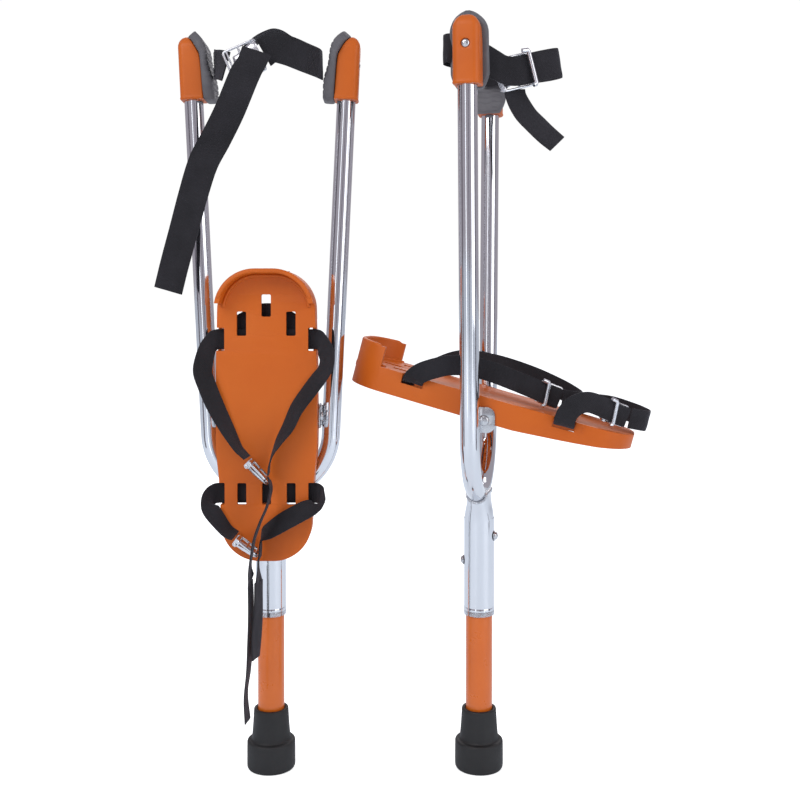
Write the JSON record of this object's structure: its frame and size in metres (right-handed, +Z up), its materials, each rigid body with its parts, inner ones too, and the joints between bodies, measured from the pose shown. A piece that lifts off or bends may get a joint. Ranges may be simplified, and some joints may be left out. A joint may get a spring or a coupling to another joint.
{
  "type": "spring stilt pair",
  "caption": "Strap-on spring stilts: U-tube calf yoke with pads, tilting foot plate with buckled straps, and a sprung leg on a rubber tip.",
  "frame": {"origin": "centre of the pair's bounding box on the ground, under the rubber tips", "axes": "+Z up along both legs; +X from the stilt whose plate hangs to the stilt whose plate is level; -Y to the toe of the first stilt"},
  "size_m": [0.4948, 0.1856, 0.7531],
  "materials": {
    "chrome": "polished",
    "steel": "satin",
    "orange_plastic": "satin",
    "orange_paint": "satin",
    "pad_grey": "matte",
    "rubber": "matte",
    "webbing": "woven",
    "spring_steel": "satin"
  },
  "bodies": {
    "left_frame": {"left_yoke_tube": "chrome", "left_sleeve": "chrome", "left_spring_bolt": "steel", "left_guide_bolt": "steel", "left_grip_cap_a": "orange_plastic", "left_grip_cap_b": "orange_plastic", "left_cap_screw_a": "steel", "left_cap_screw_b": "steel", "left_calf_pad_a": "pad_grey", "left_calf_pad_b": "pad_grey", "left_hinge_bracket_a": "steel", "left_hinge_bracket_b": "steel", "left_pivot_axle": "steel", "left_calf_strap": "webbing", "left_calf_strap_short": "webbing", "left_calf_strap_tail": "webbing", "left_calf_buckle_frame": "steel"},
    "left_leg": {"left_leg_tube": "orange_paint", "left_foot_tip": "rubber", "left_leg_plug": "rubber", "left_spring": "spring_steel"},
    "left_plate": {"left_footplate": "orange_plastic", "left_ankle_strap": "webbing", "left_ankle_buckle_frame": "steel", "left_toe_strap": "webbing", "left_toe_buckle_frame": "steel"},
    "left_calf_lever": {"left_calf_buckle_lever": "steel"},
    "left_ankle_lever": {"left_ankle_buckle_lever": "steel"},
    "left_toe_lever": {"left_toe_buckle_lever": "steel"},
    "right_frame": {"right_yoke_tube": "chrome", "right_sleeve": "chrome", "right_spring_bolt": "steel", "right_guide_bolt": "steel", "right_grip_cap_a": "orange_plastic", "right_grip_cap_b": "orange_plastic", "right_cap_screw_a": "steel", "right_cap_screw_b": "steel", "right_calf_pad_a": "pad_grey", "right_calf_pad_b": "pad_grey", "right_hinge_bracket_a": "steel", "right_hinge_bracket_b": "steel", "right_pivot_axle": "steel", "right_calf_strap": "webbing", "right_calf_strap_short": "webbing", "right_calf_strap_tail": "webbing", "right_calf_buckle_frame": "steel"},
    "right_leg": {"right_leg_tube": "orange_paint", "right_foot_tip": "rubber", "right_leg_plug": "rubber", "right_spring": "spring_steel"},
    "right_plate": {"right_footplate": "orange_plastic", "right_ankle_strap": "webbing", "right_ankle_buckle_frame": "steel", "right_toe_strap": "webbing", "right_toe_buckle_frame": "steel"},
    "right_calf_lever": {"right_calf_buckle_lever": "steel"},
    "right_ankle_lever": {"right_ankle_buckle_lever": "steel"},
    "right_toe_lever": {"right_toe_buckle_lever": "steel"},
    "left_tails": {"left_ankle_strap_tail": "webbing", "left_toe_strap_tail": "webbing"}
  },
  "joints": [
    {"name": "right_stilt_apart", "type": "slide", "parent": "left_frame", "child": "right_frame", "axis": [1, 0, 0], "range_m": [0, 0.6]},
    {"name": "left_plate_tilt", "type": "hinge", "parent": "left_frame", "child": "left_plate", "pos_m": [-0.13364, -0.012, 0.3625], "axis": [-1, 0, 0], "range_deg": [0, 105], "deforming": ["left_ankle_strap", "left_toe_strap"]},
    {"name": "left_leg_plunge", "type": "slide", "parent": "left_frame", "child": "left_leg", "axis": [0, 0, 1], "range_m": [0, 0.02], "stiffness_N_per_m": 12000, "springref_m": -0.008, "deforming": ["left_spring"]},
    {"name": "left_calf_lever_open", "type": "hinge", "parent": "left_frame", "child": "left_calf_lever", "pos_m": [-0.13886, -0.0513, 0.71849], "axis": [-0.4006, 0, 0.9163], "range_deg": [0, 30]},
    {"name": "left_ankle_lever_open", "type": "hinge", "parent": "left_plate", "child": "left_ankle_lever", "pos_m": [-0.14968, -0.0485, 0.3185], "axis": [0, 1, 0], "range_deg": [0, 70]},
    {"name": "left_toe_lever_open", "type": "hinge", "parent": "left_plate", "child": "left_toe_lever", "pos_m": [-0.16114, -0.0485, 0.24254], "axis": [0, 1, 0], "range_deg": [0, 70]},
    {"name": "right_plate_tilt", "type": "hinge", "parent": "right_frame", "child": "right_plate", "pos_m": [0.09205, -0.0027, 0.3625], "axis": [-0.225, -0.9744, 0], "range_deg": [-75, 30], "deforming": ["right_ankle_strap", "right_toe_strap"]},
    {"name": "right_leg_plunge", "type": "slide", "parent": "right_frame", "child": "right_leg", "axis": [0, 0, 1], "range_m": [0, 0.02], "stiffness_N_per_m": 12000, "springref_m": -0.008, "deforming": ["right_spring"]},
    {"name": "right_calf_lever_open", "type": "hinge", "parent": "right_frame", "child": "right_calf_lever", "pos_m": [0.09693, -0.03798, 0.69961], "axis": [-0.2655, -0.0886, 0.96], "range_deg": [0, 30]},
    {"name": "right_ankle_lever_open", "type": "hinge", "parent": "right_plate", "child": "right_ankle_lever", "pos_m": [0.13723, -0.02872, 0.38988], "axis": [0.3625, -0.0316, 0.9314], "range_deg": [0, 70]},
    {"name": "right_toe_lever_open", "type": "hinge", "parent": "right_plate", "child": "right_toe_lever", "pos_m": [0.19846, -0.05292, 0.37285], "axis": [0.3401, -0.0219, 0.9401], "range_deg": [0, 70]},
    {"name": "left_tails_hang", "type": "hinge", "parent": "left_plate", "child": "left_tails", "pos_m": [-0.13364, -0.038, 0.206], "axis": [-1, 0, 0], "range_deg": [-105, 0]}
  ],
  "couplings": [
    {"joint": "left_tails_hang", "follows": "left_plate_tilt", "ratio": -1}
  ]
}
